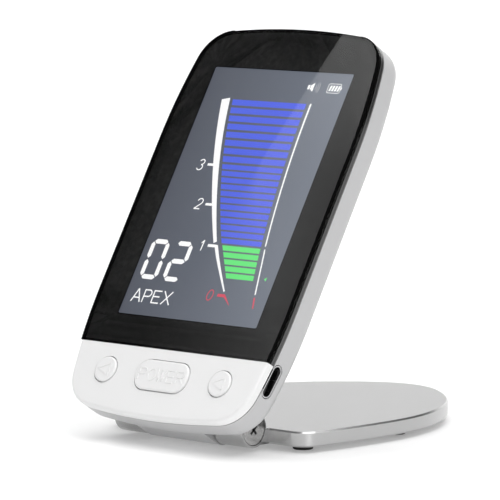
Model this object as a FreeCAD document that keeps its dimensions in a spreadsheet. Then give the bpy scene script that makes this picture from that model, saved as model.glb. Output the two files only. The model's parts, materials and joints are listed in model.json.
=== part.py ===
"""Apex locator: a tilting measuring head on a folding metal stand.

The head is described in its own frame: X to the right, Y up its face, Z out of its front face, with
the origin at the middle of the cover glass's lower edge.  The stand is described about the hinge
axis: X along the axis, Y towards the back of the plate, Z up.  All lengths are in millimetres.
"""
import FreeCAD, Part
import math
import os
import re

import Sketcher
from FreeCAD import Placement, Rotation, Vector

DRIVING_DIMENSIONS = [
    # The head's outline: straight sides, a long side arc, a corner arc and a crowned end.
    ("head_half_width", 34.25),
    ("head_half_height", 57.45),
    ("head_middle", 38.2),
    ("side_straight", 46.0),
    ("side_arc", 138.0),
    ("corner_arc", 10.5),
    ("crown_arc", 200.0),
    # The head's depth and walls.
    ("head_thickness", 10.4),
    ("cover_depth", 2.4),
    ("parting_gap", 0.32),
    ("shell_wall", 1.6),
    ("back_wall", 1.5),
    ("back_fillet", 3.0),
    ("glass_thickness", 1.0),
    ("glass_edge", 0.4),
    ("adhesive_thickness", 0.15),
    ("adhesive_inset", 0.9),
    ("panel_skin", 1.2),
    ("panel_edge", 0.9),
    ("panel_seam", 0.05),
    ("panel_rib_width", 61.0),
    ("seal_inset", 0.4),
    ("seal_width", 0.9),
    # The 3.5-inch display: glass cell, light guide and metal tray.
    ("view_width", 49.3),
    ("view_height", 74.3),
    ("view_middle", 46.14),
    ("tray_width", 54.6),
    ("tray_height", 82.8),
    ("tray_middle", 45.1),
    ("tray_depth", 2.7),
    ("tray_wall", 0.3),
    ("cell_thickness", 1.2),
    ("guide_thickness", 0.9),
    ("tray_gap", 0.2),
    ("ribbon_width", 16.0),
    ("ribbon_length", 13.2),
    ("ribbon_middle", 11.6),
    ("ribbon_drop", 1.2),
    ("ribbon_thickness", 0.15),
    # The keys.
    ("key_row", -7.5),
    ("side_key_place", 20.4),
    ("side_key_radius", 3.6),
    ("power_key_width", 18.2),
    ("power_key_height", 8.5),
    ("power_key_corner", 3.7),
    ("key_gap", 0.27),
    ("key_proud", 0.5),
    ("key_edge", 0.45),
    ("key_flange", 0.8),
    ("key_flange_thickness", 0.7),
    ("key_flange_gap", 0.15),
    ("stem_radius", 1.0),
    ("stem_length", 2.7),
    ("switch_side", 5.2),
    ("switch_height", 1.7),
    ("switch_bore", 1.25),
    ("switch_bore_depth", 1.1),
    # The two sockets, one in each side wall.
    ("port_place", -3.46),
    ("port_depth", 4.6),
    ("port_mouth", 33.9),
    ("port_width", 8.94),
    ("port_height", 3.26),
    ("port_wall", 0.3),
    ("port_length", 9.25),
    ("port_gap", 0.25),
    ("port_recess", 0.12),
    ("tongue_width", 6.69),
    ("tongue_thickness", 0.7),
    ("tongue_length", 6.6),
    # The board and what is on it.
    ("board_thickness", 1.0),
    ("board_width", 48.0),
    ("board_height", 50.0),
    ("board_middle", 9.5),
    ("board_shoulder_width", 54.0),
    ("board_shoulder_height", 27.0),
    ("board_shoulder_middle", 21.0),
    ("board_ear_width", 60.2),
    ("board_ear_height", 7.0),
    ("board_screw_radius", 0.65),
    ("board_screw_head", 1.4),
    ("board_screw_head_height", 0.7),
    ("board_screw_length", 2.6),
    ("board_post_radius", 1.8),
    ("board_post_bore", 1.7),
    ("upper_board_screws_across", 21.5),
    ("upper_board_screws_up", 31.5),
    ("lower_board_screws_across", 14.0),
    ("lower_board_screws_up", 1.0),
    # Power and sound.
    ("battery_width", 33.0),
    ("battery_height", 48.0),
    ("battery_thickness", 4.2),
    ("battery_corner", 2.5),
    ("battery_across", -9.5),
    ("battery_up", 61.0),
    ("pad_thickness", 0.3),
    ("pad_width", 29.0),
    ("pad_height", 42.0),
    ("speaker_radius", 9.5),
    ("speaker_height", 3.4),
    ("speaker_across", 18.0),
    ("speaker_up", 73.5),
    ("speaker_hole", 0.7),
    ("speaker_ring_width", 2.5),
    # Case screws: a pair near the top, one at the glass's lower edge and one at the bottom.
    ("top_screws_across", 18.0),
    ("top_screws_up", 89.4),
    ("seam_screws_across", 29.6),
    ("seam_screws_up", 4.8),
    ("bottom_screws_across", 27.0),
    ("bottom_screws_up", -10.8),
    ("case_post_radius", 1.9),
    ("rear_post_radius", 2.1),
    ("case_post_end", 5.5),
    ("case_screw_radius", 0.8),
    ("case_screw_head", 1.5),
    ("case_screw_head_height", 1.0),
    ("case_screw_length", 6.0),
    ("case_screw_sink", 0.2),
    ("insert_radius", 1.35),
    ("insert_length", 2.6),
    ("assembly_gap", 0.03),
    # The hinge.
    ("hinge_up", -13.2),
    ("hinge_drop", 5.1),
    ("boss_radius", 5.0),
    ("boss_half_length", 12.3),
    ("washer_thickness", 0.4),
    ("washer_radius", 4.2),
    ("knuckle_start", 13.0),
    ("knuckle_end", 22.85),
    ("knuckle_radius", 4.7),
    ("bush_radius", 2.6),
    ("pin_radius", 1.7),
    ("pin_clearance", 0.06),
    ("thread_radius", 1.45),
    ("thread_length", 7.0),
    ("pin_head_radius", 3.95),
    ("pin_head_height", 1.35),
    ("pin_head_sink", 0.1),
    ("pin_head_gap", 0.18),
    ("cross_length", 3.0),
    ("cross_width", 0.75),
    ("cross_depth", 1.0),
    ("cross_turn", 40.0),
    ("hinge_insert_radius", 2.5),
    ("hinge_insert_length", 8.0),
    # The stand's plate.
    ("plate_top", -0.1),
    ("plate_thickness", 4.05),
    ("plate_front", 5.45),
    ("plate_front_corner", 5.0),
    ("plate_half_width", 38.5),
    ("plate_widest", 39.0),
    ("plate_side_arc", 160.0),
    ("plate_shoulder_arc", 58.7),
    ("plate_end_arc", 20.0),
    ("plate_chamfer", 0.45),
    ("foot_radius", 2.7),
    ("foot_height", 2.0),
    ("foot_recess", 0.4),
    ("foot_edge", 0.4),
    ("front_foot_across", 28.6),
    ("front_foot_back", 12.6),
    ("rear_foot_across", 30.2),
    ("rear_foot_back", 48.0),
    # Where the hinge axis stands, and how far the head leans at rest.
    ("axis_back", -38.0),
    ("head_tilt", 58.8),
]

BOARD_PIECES = [
    # name, width, height, thickness, across, up, and whether it is on the board's back
    ("processor_chip", 9.0, 9.0, 1.1, -13.0, 28.0, False),
    ("shield_can", 14.0, 9.0, 1.6, 12.0, 28.0, False),
    ("display_socket", 19.0, 3.6, 1.1, 0.0, 20.1, False),
    ("measuring_chip", 6.0, 6.0, 0.9, -9.0, 3.0, True),
    ("charging_chip", 4.0, 4.0, 0.9, 9.0, 3.0, True),
    ("battery_socket", 8.0, 4.5, 1.5, -12.0, 31.0, True),
]

FRAME_SCREW_ROWS = ["top_screws", "seam_screws"]
PANEL_SCREW_ROWS = ["bottom_screws"]
CASE_SCREW_ROWS = FRAME_SCREW_ROWS + PANEL_SCREW_ROWS
BOARD_SCREW_ROWS = ["upper_board_screws", "lower_board_screws"]
SPEAKER_HOLE_RING = 4.2
SPEAKER_HOLE_COUNT = 8
KEYS = [("left", "0 - side_key_place"), ("power", "0"), ("right", "side_key_place")]
FEET = [
    ("foot_front_left", "0 - front_foot_across", "front_foot_back"),
    ("foot_front_right", "front_foot_across", "front_foot_back"),
    ("foot_rear_left", "0 - rear_foot_across", "rear_foot_back"),
    ("foot_rear_right", "rear_foot_across", "rear_foot_back"),
]
# How far two heights may differ and still count as the same, in millimetres.
SAME_HEIGHT = 1e-4


def board_piece_dimensions():
    """The sheet's rows for the pieces on the board, such as processor_chip_width."""
    rows = []
    for name, *numbers, _ in BOARD_PIECES:
        for what, number in zip(("width", "height", "thickness", "across", "up"), numbers):
            rows.append((name + "_" + what, number))
    return rows


doc = FreeCAD.newDocument("ApexLocator")
sheet = doc.addObject("Spreadsheet::Sheet", "Dims")
for row_number, (alias, number) in enumerate(DRIVING_DIMENSIONS + board_piece_dimensions(), start=1):
    sheet.set("A%d" % row_number, alias.replace("_", " "))
    sheet.set("B%d" % row_number, str(number))
    sheet.setAlias("B%d" % row_number, alias)
doc.recompute()

sub_parts = []


# ---------------------------------------------------------------- formulas and sketches

def formula(text):
    """The expression for a sum written with the sheet's aliases."""
    return re.sub(r"[a-z_]+", lambda word: "Dims." + word.group(0), text)


def size(text):
    """The present value of such a sum."""
    return float(sheet.evalExpression(formula(text)))


def new_body(name):
    body = doc.addObject("PartDesign::Body", name)
    body.Label = name
    sub_parts.append(body)
    return body


def new_sketch(body, across="0", up="0", out="0", plane="XY_Plane"):
    """A sketch whose origin is moved by three sums within one of the body's own planes."""
    sketch = body.newObject("Sketcher::SketchObject", body.Name + "_sketch")
    support = next(item for item in body.Origin.OriginFeatures if item.Role == plane)
    sketch.AttachmentSupport = [(support, "")]
    sketch.MapMode = "FlatFace"
    for axis, text in (("x", across), ("y", up), ("z", out)):
        if text != "0":
            sketch.setExpression("AttachmentOffset.Base." + axis, formula(text))
    return sketch


def drive(sketch, text, *constraint):
    """Adds a dimension and binds it to a sum of the sheet's cells."""
    index = sketch.addConstraint(Sketcher.Constraint(*constraint, size(text)))
    sketch.setExpression("Constraints[%d]" % index, formula(text))


def arc(centre, radius, start, end):
    whole = Part.Circle(Vector(centre[0], centre[1], 0), Vector(0, 0, 1), radius)
    return Part.ArcOfCircle(whole, start, end)


def rectangle(sketch, width, height):
    """A rectangle about the sketch's origin."""
    a = size(width) / 2
    b = size(height) / 2
    corners = [Vector(-a, -b, 0), Vector(a, -b, 0), Vector(a, b, 0), Vector(-a, b, 0)]
    for i in range(4):
        sketch.addGeometry(Part.LineSegment(corners[i], corners[(i + 1) % 4]))
    for i in range(4):
        sketch.addConstraint(Sketcher.Constraint("Coincident", i, 2, (i + 1) % 4, 1))
        direction = "Horizontal" if i % 2 == 0 else "Vertical"
        sketch.addConstraint(Sketcher.Constraint(direction, i))
    sketch.addConstraint(Sketcher.Constraint("Symmetric", 0, 1, 2, 1, -1, 1))
    drive(sketch, width, "DistanceX", 0, 1, 0, 2)
    drive(sketch, height, "DistanceY", 1, 1, 1, 2)


def rounded_rectangle(sketch, width, height, corner):
    """A rectangle about the sketch's origin with four equal round corners."""
    a = size(width) / 2
    b = size(height) / 2
    r = size(corner)
    places = [(a - r, b - r), (r - a, b - r), (r - a, r - b), (a - r, r - b)]
    for i, place in enumerate(places):
        sketch.addGeometry(arc(place, r, i * math.pi / 2, (i + 1) * math.pi / 2))
    top, bottom = ((a - r, b), (r - a, b)), ((r - a, -b), (a - r, -b))
    left, right = ((-a, b - r), (-a, r - b)), ((a, r - b), (a, b - r))
    for first, second in (top, left, bottom, right):
        sketch.addGeometry(Part.LineSegment(Vector(*first, 0), Vector(*second, 0)))
    for i in range(4):
        sketch.addConstraint(Sketcher.Constraint("Tangent", i, 2, 4 + i, 1))
        sketch.addConstraint(Sketcher.Constraint("Tangent", 4 + i, 2, (i + 1) % 4, 1))
    for i in range(1, 4):
        sketch.addConstraint(Sketcher.Constraint("Equal", 0, i))
    sketch.addConstraint(Sketcher.Constraint("Horizontal", 4))
    sketch.addConstraint(Sketcher.Constraint("Symmetric", 0, 3, 2, 3, -1, 1))
    drive(sketch, corner, "Radius", 0)
    drive(sketch, "%s - 2 * %s" % (width, corner), "DistanceX", 4, 2, 4, 1)
    drive(sketch, "%s - 2 * %s" % (height, corner), "DistanceY", 5, 2, 5, 1)


def stadium(sketch, width, height):
    """Two half circles joined by straight sides, along the sketch's X."""
    r = size(height) / 2
    a = size(width) / 2 - r
    sketch.addGeometry(arc((a, 0), r, -math.pi / 2, math.pi / 2))
    sketch.addGeometry(Part.LineSegment(Vector(a, r, 0), Vector(-a, r, 0)))
    sketch.addGeometry(arc((-a, 0), r, math.pi / 2, 3 * math.pi / 2))
    sketch.addGeometry(Part.LineSegment(Vector(-a, -r, 0), Vector(a, -r, 0)))
    for i in range(4):
        sketch.addConstraint(Sketcher.Constraint("Tangent", i, 2, (i + 1) % 4, 1))
    sketch.addConstraint(Sketcher.Constraint("Equal", 0, 2))
    sketch.addConstraint(Sketcher.Constraint("Symmetric", 0, 3, 2, 3, -1, 1))
    sketch.addConstraint(Sketcher.Constraint("Horizontal", 1))
    drive(sketch, "(%s) / 2" % height, "Radius", 0)
    drive(sketch, "%s - (%s)" % (width, height), "DistanceX", 2, 3, 0, 3)


def circle(sketch, radius):
    """A circle about the sketch's origin."""
    index = sketch.addGeometry(Part.Circle(Vector(0, 0, 0), Vector(0, 0, 1), size(radius)))
    sketch.addConstraint(Sketcher.Constraint("Coincident", index, 3, -1, 1))
    drive(sketch, radius, "Radius", index)


def circle_pair(sketch, half_spacing, radius):
    """Two equal circles on the sketch's X axis, the same distance each side of its origin."""
    for sign in (1, -1):
        place = Vector(sign * size(half_spacing), 0, 0)
        sketch.addGeometry(Part.Circle(place, Vector(0, 0, 1), size(radius)))
    sketch.addConstraint(Sketcher.Constraint("PointOnObject", 0, 3, -1))
    sketch.addConstraint(Sketcher.Constraint("Symmetric", 0, 3, 1, 3, -1, 1))
    sketch.addConstraint(Sketcher.Constraint("Equal", 0, 1))
    drive(sketch, half_spacing, "DistanceX", -1, 1, 0, 3)
    drive(sketch, radius, "Radius", 0)


def meeting_point(first, first_distance, second, second_distance):
    """The point at the given distances from two centres, on the right of the line between them."""
    gap = math.dist(first, second)
    along = (first_distance ** 2 - second_distance ** 2 + gap ** 2) / (2 * gap)
    aside = math.sqrt(first_distance ** 2 - along ** 2)
    step = ((second[0] - first[0]) / gap, (second[1] - first[1]) / gap)
    return (first[0] + along * step[0] + aside * step[1], first[1] + along * step[1] - aside * step[0])


def direction(start, end):
    return math.atan2(end[1] - start[1], end[0] - start[0])


def chain(sketch, pieces):
    """Adds pieces of outline, each tangent to the next, in a closed loop."""
    for piece in pieces:
        sketch.addGeometry(piece)
    for i in range(len(pieces)):
        sketch.addConstraint(Sketcher.Constraint("Tangent", i, 2, (i + 1) % len(pieces), 1))


def equal(sketch, first, others):
    for other in others:
        sketch.addConstraint(Sketcher.Constraint("Equal", first, other))


def head_outline(sketch, inset="0"):
    """The head's outline about the sketch's origin, moved inwards by the inset."""
    half_width = size("head_half_width - (%s)" % inset)
    side = size("side_arc - (%s)" % inset)
    corner = size("corner_arc - (%s)" % inset)
    crown = size("crown_arc - (%s)" % inset)
    straight = size("side_straight") / 2
    crown_centre = (0, size("head_half_height - crown_arc"))
    side_centre = (size("head_half_width - side_arc"), straight)
    corner_centre = meeting_point(crown_centre, crown - corner, side_centre, side - corner)
    side_end = direction(side_centre, corner_centre)
    crown_start = direction(crown_centre, corner_centre)
    half_turn = math.pi

    def flipped(point, x, y):
        return (x * point[0], y * point[1])

    right = Part.LineSegment(Vector(half_width, -straight, 0), Vector(half_width, straight, 0))
    left = Part.LineSegment(Vector(-half_width, straight, 0), Vector(-half_width, -straight, 0))
    chain(sketch, [
        right,
        arc(side_centre, side, 0, side_end),
        arc(corner_centre, corner, side_end, crown_start),
        arc(crown_centre, crown, crown_start, half_turn - crown_start),
        arc(flipped(corner_centre, -1, 1), corner, half_turn - crown_start, half_turn - side_end),
        arc(flipped(side_centre, -1, 1), side, half_turn - side_end, half_turn),
        left,
        arc(flipped(side_centre, -1, -1), side, half_turn, half_turn + side_end),
        arc(flipped(corner_centre, -1, -1), corner, half_turn + side_end, half_turn + crown_start),
        arc(flipped(crown_centre, 1, -1), crown, half_turn + crown_start, 2 * half_turn - crown_start),
        arc(flipped(corner_centre, 1, -1), corner, -crown_start, -side_end),
        arc(flipped(side_centre, 1, -1), side, -side_end, 0),
    ])
    equal(sketch, 1, (5, 7, 11))
    equal(sketch, 2, (4, 8, 10))
    equal(sketch, 3, (9,))
    for line in (0, 6):
        sketch.addConstraint(Sketcher.Constraint("Symmetric", line, 1, line, 2, -1))
    for crown_index in (3, 9):
        sketch.addConstraint(Sketcher.Constraint("PointOnObject", crown_index, 3, -2))
    drive(sketch, "head_half_width - (%s)" % inset, "DistanceX", -1, 1, 0, 1)
    drive(sketch, "head_half_width - (%s)" % inset, "DistanceX", 6, 1, -1, 1)
    drive(sketch, "side_straight", "DistanceY", 0, 1, 0, 2)
    equal(sketch, 0, (6,))
    drive(sketch, "side_arc - (%s)" % inset, "Radius", 1)
    drive(sketch, "corner_arc - (%s)" % inset, "Radius", 2)
    drive(sketch, "crown_arc - (%s)" % inset, "Radius", 3)
    drive(sketch, "crown_arc - head_half_height", "DistanceY", 3, 3, -1, 1)
    drive(sketch, "crown_arc - head_half_height", "DistanceY", -1, 1, 9, 3)


def plate_outline(sketch):
    """The stand's plan: a straight front, round front corners, bowed sides and a round end."""
    front = size("plate_front")
    corner = size("plate_front_corner")
    half_width = size("plate_half_width")
    widest = size("plate_widest")
    side = size("plate_side_arc")
    shoulder = size("plate_shoulder_arc")
    end_radius = size("plate_end_arc")
    side_centre = (half_width - side, widest)
    shoulder_centre = (half_width - shoulder, widest)
    end_centre = (0, widest + math.sqrt((shoulder - end_radius) ** 2 - shoulder_centre[0] ** 2))
    corner_height = front + corner
    corner_across = side_centre[0] + math.sqrt((side - corner) ** 2 - (widest - corner_height) ** 2)
    corner_centre = (corner_across, corner_height)
    side_start = direction(side_centre, corner_centre)
    shoulder_end = direction(shoulder_centre, end_centre)
    half_turn = math.pi

    def mirrored(point):
        return (-point[0], point[1])

    chain(sketch, [
        arc(corner_centre, corner, -half_turn / 2, side_start),
        arc(side_centre, side, side_start, 0),
        arc(shoulder_centre, shoulder, 0, shoulder_end),
        arc(end_centre, end_radius, shoulder_end, half_turn - shoulder_end),
        arc(mirrored(shoulder_centre), shoulder, half_turn - shoulder_end, half_turn),
        arc(mirrored(side_centre), side, half_turn, half_turn - side_start),
        arc(mirrored(corner_centre), corner, half_turn - side_start, 3 * half_turn / 2),
        Part.LineSegment(Vector(-corner_across, front, 0), Vector(corner_across, front, 0)),
    ])
    equal(sketch, 0, (6,))
    equal(sketch, 1, (5,))
    equal(sketch, 2, (4,))
    sketch.addConstraint(Sketcher.Constraint("Symmetric", 7, 1, 7, 2, -2))
    sketch.addConstraint(Sketcher.Constraint("Symmetric", 1, 2, 4, 2, -2))
    sketch.addConstraint(Sketcher.Constraint("Horizontal", 1, 3, 1, 2))
    drive(sketch, "plate_front", "DistanceY", -1, 1, 7, 1)
    drive(sketch, "plate_front_corner", "Radius", 0)
    drive(sketch, "plate_side_arc", "Radius", 1)
    drive(sketch, "plate_shoulder_arc", "Radius", 2)
    drive(sketch, "plate_widest", "DistanceY", -1, 1, 1, 2)
    drive(sketch, "plate_half_width", "DistanceX", -1, 1, 1, 2)
    drive(sketch, "plate_end_arc", "Radius", 3)


# ---------------------------------------------------------------- features

def pad(sketch, length, both_ways=False, backwards=False):
    feature = sketch.getParentGeoFeatureGroup().newObject("PartDesign::Pad", "Pad")
    feature.Profile = sketch
    feature.setExpression("Length", formula(length))
    feature.Midplane = both_ways
    feature.Reversed = backwards
    return feature


def pocket(sketch, length, forwards=False, both_ways=False):
    """Cuts against the sketch's normal, or along it when forwards is set, and must remove material."""
    body = sketch.getParentGeoFeatureGroup()
    doc.recompute()
    before = body.Shape.Volume
    feature = body.newObject("PartDesign::Pocket", "Pocket")
    feature.Profile = sketch
    feature.setExpression("Length", formula(length))
    feature.Reversed = forwards
    feature.Midplane = both_ways
    doc.recompute()
    if body.Shape.Volume > before - 1e-6:
        raise RuntimeError(body.Label + ": a pocket cuts nothing")
    return feature


def dress(kind, body, edges, amount):
    """A fillet or chamfer on the edges of the body that pass the test."""
    doc.recompute()
    base = body.Tip
    names = ["Edge%d" % (i + 1) for i, edge in enumerate(base.Shape.Edges) if edges(edge)]
    if not names:
        raise RuntimeError(body.Label + ": no edges to dress")
    feature = body.newObject("PartDesign::" + kind, kind)
    feature.Base = (base, names)
    feature.setExpression("Radius" if kind == "Fillet" else "Size", formula(amount))
    doc.recompute()


def flat_at(height):
    """A test for edges that lie in a plane across Z."""
    def test(edge):
        box = edge.BoundBox
        return abs(box.ZMin - height) < SAME_HEIGHT and abs(box.ZMax - height) < SAME_HEIGHT
    return test


def near_outline(test):
    """Keeps only edges that lie outside the display's area, along the head's outline."""
    half_width = size("tray_width / 2")
    half_height = size("tray_height / 2")
    centre = size("head_middle")

    def both(edge):
        middle = edge.valueAt((edge.FirstParameter + edge.LastParameter) / 2)
        return test(edge) and (abs(middle.x) > half_width or abs(middle.y - centre) > half_height)
    return both


def head_layer(body, front, thickness, inset="0"):
    """A slab with the head's outline, whose front is at the given height."""
    sketch = new_sketch(body, up="head_middle", out=front)
    head_outline(sketch, inset)
    pad(sketch, thickness, backwards=True)


def cut_below_seam(body, front, thickness, seam):
    """Removes what lies below the seam between the glass and the key panel."""
    sketch = new_sketch(body, up="%s - head_half_height / 2" % seam, out=front)
    rectangle(sketch, "3 * head_half_width", "head_half_height")
    pocket(sketch, thickness)


def cut_above_seam(body, front, thickness, seam):
    sketch = new_sketch(body, up="%s + head_half_height" % seam, out=front)
    rectangle(sketch, "3 * head_half_width", "2 * head_half_height")
    pocket(sketch, thickness)


def slab(body, width, height, front, thickness, across="0", up="0"):
    sketch = new_sketch(body, across, up, front)
    rectangle(sketch, width, height)
    pad(sketch, thickness, backwards=True)


def block(name, width, height, front, thickness, across="0", up="0"):
    """A rectangular piece lying in the head."""
    body = new_body(name)
    slab(body, width, height, front, thickness, across, up)
    return body


def rods(body, rows, radius, front, length):
    """Round posts in pairs, one pair for each row, reaching back from the front height."""
    for row in rows:
        sketch = new_sketch(body, up=row + "_up", out=front)
        circle_pair(sketch, row + "_across", radius)
        pad(sketch, length, backwards=True)


def bores(body, rows, radius, front, length):
    for row in rows:
        sketch = new_sketch(body, up=row + "_up", out=front)
        circle_pair(sketch, row + "_across", radius)
        pocket(sketch, length)


# ---------------------------------------------------------------- the head's covers

cavity_floor = "back_wall - head_thickness"
shell_front = "0 - cover_depth - parting_gap"
board_front = "0 - port_depth - port_height / 2"
board_back = board_front + " - board_thickness"
frame_front = "0 - glass_thickness - adhesive_thickness"
axis_out = "0 - head_thickness - hinge_drop"


def make_rear_shell():
    body = new_body("rear_shell")
    head_layer(body, shell_front, "head_thickness - cover_depth - parting_gap")
    dress("Fillet", body, flat_at(-size("head_thickness")), "back_fillet")
    cavity = new_sketch(body, up="head_middle", out=shell_front)
    head_outline(cavity, "shell_wall")
    pocket(cavity, "head_thickness - back_wall - cover_depth - parting_gap")
    post_front = "0 - case_post_end - assembly_gap"
    rods(body, CASE_SCREW_ROWS, "rear_post_radius", post_front,
         "head_thickness - back_wall / 2 - case_post_end")
    rods(body, BOARD_SCREW_ROWS, "board_post_radius", board_back + " - assembly_gap",
         "head_thickness - back_wall / 2 - port_depth - port_height / 2 - board_thickness")
    boss = new_sketch(body, up=axis_out, across="hinge_up", plane="YZ_Plane")
    circle(boss, "boss_radius")
    pad(boss, "2 * boss_half_length", both_ways=True)
    web = new_sketch(body, up="hinge_up", out="back_wall / 2 - head_thickness")
    rectangle(web, "2 * boss_half_length", "2 * boss_radius")
    pad(web, "hinge_drop + back_wall / 2", backwards=True)
    bores(body, CASE_SCREW_ROWS, "case_screw_radius + 2 * assembly_gap", post_front, "head_thickness")
    for row in CASE_SCREW_ROWS:
        sink = new_sketch(body, up=row + "_up", out="0 - head_thickness")
        circle_pair(sink, row + "_across", "case_screw_head + 2 * assembly_gap")
        pocket(sink, "case_screw_head_height + case_screw_sink", forwards=True)
    bores(body, BOARD_SCREW_ROWS, "board_screw_radius + assembly_gap", board_back, "board_post_bore")
    for side in (1, -1):
        opening = new_sketch(body, "port_place", "0 - port_depth",
                             "%d * (head_half_width - 3 * shell_wall)" % side, plane="YZ_Plane")
        stadium(opening, "port_width + 2 * port_gap", "port_height + 2 * port_gap")
        pocket(opening, "4 * shell_wall", forwards=side > 0)
    insert_hole = new_sketch(body, "hinge_up", axis_out, plane="YZ_Plane")
    circle(insert_hole, "hinge_insert_radius + assembly_gap")
    pocket(insert_hole, "3 * boss_half_length", both_ways=True)
    middle = new_sketch(body, "speaker_across", "speaker_up", cavity_floor)
    circle(middle, "speaker_hole")
    pocket(middle, "2 * back_wall")
    for i in range(SPEAKER_HOLE_COUNT):
        angle = 2 * math.pi * i / SPEAKER_HOLE_COUNT
        hole = new_sketch(body, "speaker_across + %.4f" % (SPEAKER_HOLE_RING * math.cos(angle)),
                          "speaker_up + %.4f" % (SPEAKER_HOLE_RING * math.sin(angle)), cavity_floor)
        circle(hole, "speaker_hole")
        pocket(hole, "2 * back_wall")


def make_front_frame():
    body = new_body("front_frame")
    head_layer(body, frame_front, "cover_depth - glass_thickness - adhesive_thickness")
    cut_below_seam(body, frame_front, "cover_depth", "panel_seam")
    window = new_sketch(body, up="tray_middle", out=frame_front)
    rectangle(window, "tray_width + tray_gap", "tray_height + tray_gap")
    pocket(window, "cover_depth")
    rods(body, FRAME_SCREW_ROWS, "case_post_radius", "glass_thickness - cover_depth",
         "case_post_end - cover_depth + glass_thickness")
    bores(body, FRAME_SCREW_ROWS, "insert_radius + assembly_gap",
          "insert_length - case_post_end", "2 * insert_length")


def make_key_panel():
    body = new_body("key_panel")
    head_layer(body, "0", "cover_depth")
    cut_above_seam(body, "0", "cover_depth", "0 - panel_seam")
    dress("Fillet", body, near_outline(flat_at(0)), "panel_edge")
    hollow = new_sketch(body, up="head_middle", out="0 - cover_depth")
    head_outline(hollow, "shell_wall")
    pocket(hollow, "cover_depth - panel_skin", forwards=True)
    slab(body, "panel_rib_width", "shell_wall", "panel_seam - panel_skin",
         "cover_depth - panel_skin + panel_seam", up="0 - shell_wall / 2 - panel_seam")
    rods(body, PANEL_SCREW_ROWS, "case_post_radius", "0 - panel_skin / 2",
         "case_post_end - panel_skin / 2")
    bores(body, PANEL_SCREW_ROWS, "insert_radius + assembly_gap",
          "insert_length - case_post_end", "2 * insert_length")
    side_holes = new_sketch(body, up="key_row", out="0")
    circle_pair(side_holes, "side_key_place", "side_key_radius + key_gap")
    pocket(side_holes, "cover_depth")
    power_hole = new_sketch(body, up="key_row", out="0")
    rounded_rectangle(power_hole, "(power_key_width + 2 * key_gap)", "(power_key_height + 2 * key_gap)",
                      "(power_key_corner + key_gap)")
    pocket(power_hole, "cover_depth")


def make_cover_glass():
    body = new_body("cover_glass")
    head_layer(body, "0", "glass_thickness")
    cut_below_seam(body, "0", "glass_thickness", "panel_seam")
    dress("Fillet", body, near_outline(flat_at(0)), "glass_edge")


def make_glass_adhesive():
    body = new_body("glass_adhesive")
    front = "0 - glass_thickness"
    head_layer(body, front, "adhesive_thickness", "adhesive_inset")
    cut_below_seam(body, front, "adhesive_thickness", "adhesive_inset")
    window = new_sketch(body, up="view_middle", out=front)
    rectangle(window, "view_width + 2 * tray_gap", "view_height + 2 * tray_gap")
    pocket(window, "adhesive_thickness")


def make_case_seal():
    """A thin ring between the rear shell and the two front covers, a little inside their edges."""
    body = new_body("case_seal")
    front = "0 - cover_depth - assembly_gap / 2"
    thickness = "parting_gap - assembly_gap"
    head_layer(body, front, thickness, "seal_inset")
    hollow = new_sketch(body, up="head_middle", out=front)
    head_outline(hollow, "seal_inset + seal_width")
    pocket(hollow, thickness)


# ---------------------------------------------------------------- the display

def make_display():
    tray = new_body("display_tray")
    tray_front = "0 - glass_thickness - adhesive_thickness - tray_gap / 2"
    slab(tray, "tray_width", "tray_height", tray_front, "tray_depth", up="tray_middle")
    well = new_sketch(tray, up="tray_middle", out=tray_front)
    rectangle(well, "tray_width - 2 * tray_wall", "tray_height - 2 * tray_wall")
    pocket(well, "tray_depth - tray_wall")
    width = "tray_width - 4 * tray_wall"
    height = "tray_height - 4 * tray_wall"
    block("display_cell", width, height, tray_front, "cell_thickness", up="tray_middle")
    guide_front = tray_front + " - cell_thickness - 2 * assembly_gap"
    block("light_guide", width, height, guide_front, "guide_thickness", up="tray_middle")


def make_display_ribbon():
    """A flat flex that leaves the tray's back and drops into its socket on the board."""
    body = new_body("display_ribbon")
    flat_front = "0 - glass_thickness - adhesive_thickness - tray_gap / 2 - tray_depth - assembly_gap"
    slab(body, "ribbon_width", "ribbon_length", flat_front, "ribbon_thickness", up="ribbon_middle")
    slab(body, "ribbon_width", "ribbon_thickness", flat_front, "ribbon_drop",
         up="ribbon_middle + ribbon_length / 2 - ribbon_thickness / 2")


# ---------------------------------------------------------------- keys and their switches

def key_section(sketch, name, growth):
    if name == "power":
        rounded_rectangle(sketch, "(power_key_width + 2 * %s)" % growth,
                          "(power_key_height + 2 * %s)" % growth, "(power_key_corner + %s)" % growth)
    else:
        circle(sketch, "side_key_radius + %s" % growth)


def make_keys():
    cap_height = "key_proud + panel_skin + key_flange_gap"
    flange_front = "0 - panel_skin - key_flange_gap"
    stem_front = flange_front + " - key_flange_thickness"
    switch_front = board_front + " + switch_height"
    for name, across in KEYS:
        cap = new_body(name + "_key")
        sketch = new_sketch(cap, across, "key_row", "key_proud")
        key_section(sketch, name, "0")
        pad(sketch, cap_height, backwards=True)
        dress("Fillet", cap, flat_at(size("key_proud")), "key_edge")
        flange = new_sketch(cap, across, "key_row", flange_front)
        key_section(flange, name, "key_flange")
        pad(flange, "key_flange_thickness", backwards=True)
        stem = new_body(name + "_key_stem")
        section = new_sketch(stem, across, "key_row", stem_front)
        circle(section, "stem_radius")
        pad(section, "stem_length", backwards=True)
        switch = block(name + "_switch", "switch_side", "switch_side", switch_front, "switch_height",
                       across, "key_row")
        bore = new_sketch(switch, across, "key_row", switch_front)
        circle(bore, "switch_bore")
        pocket(bore, "switch_bore_depth")


# ---------------------------------------------------------------- the board

def make_board():
    body = new_body("main_board")
    slab(body, "board_width", "board_height", board_front, "board_thickness", up="board_middle")
    slab(body, "board_shoulder_width", "board_shoulder_height", board_front, "board_thickness",
         up="board_shoulder_middle")
    slab(body, "board_ear_width", "board_ear_height", board_front, "board_thickness", up="port_place")
    bores(body, BOARD_SCREW_ROWS, "board_screw_radius + 4 * assembly_gap", board_front, "board_thickness")


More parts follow.
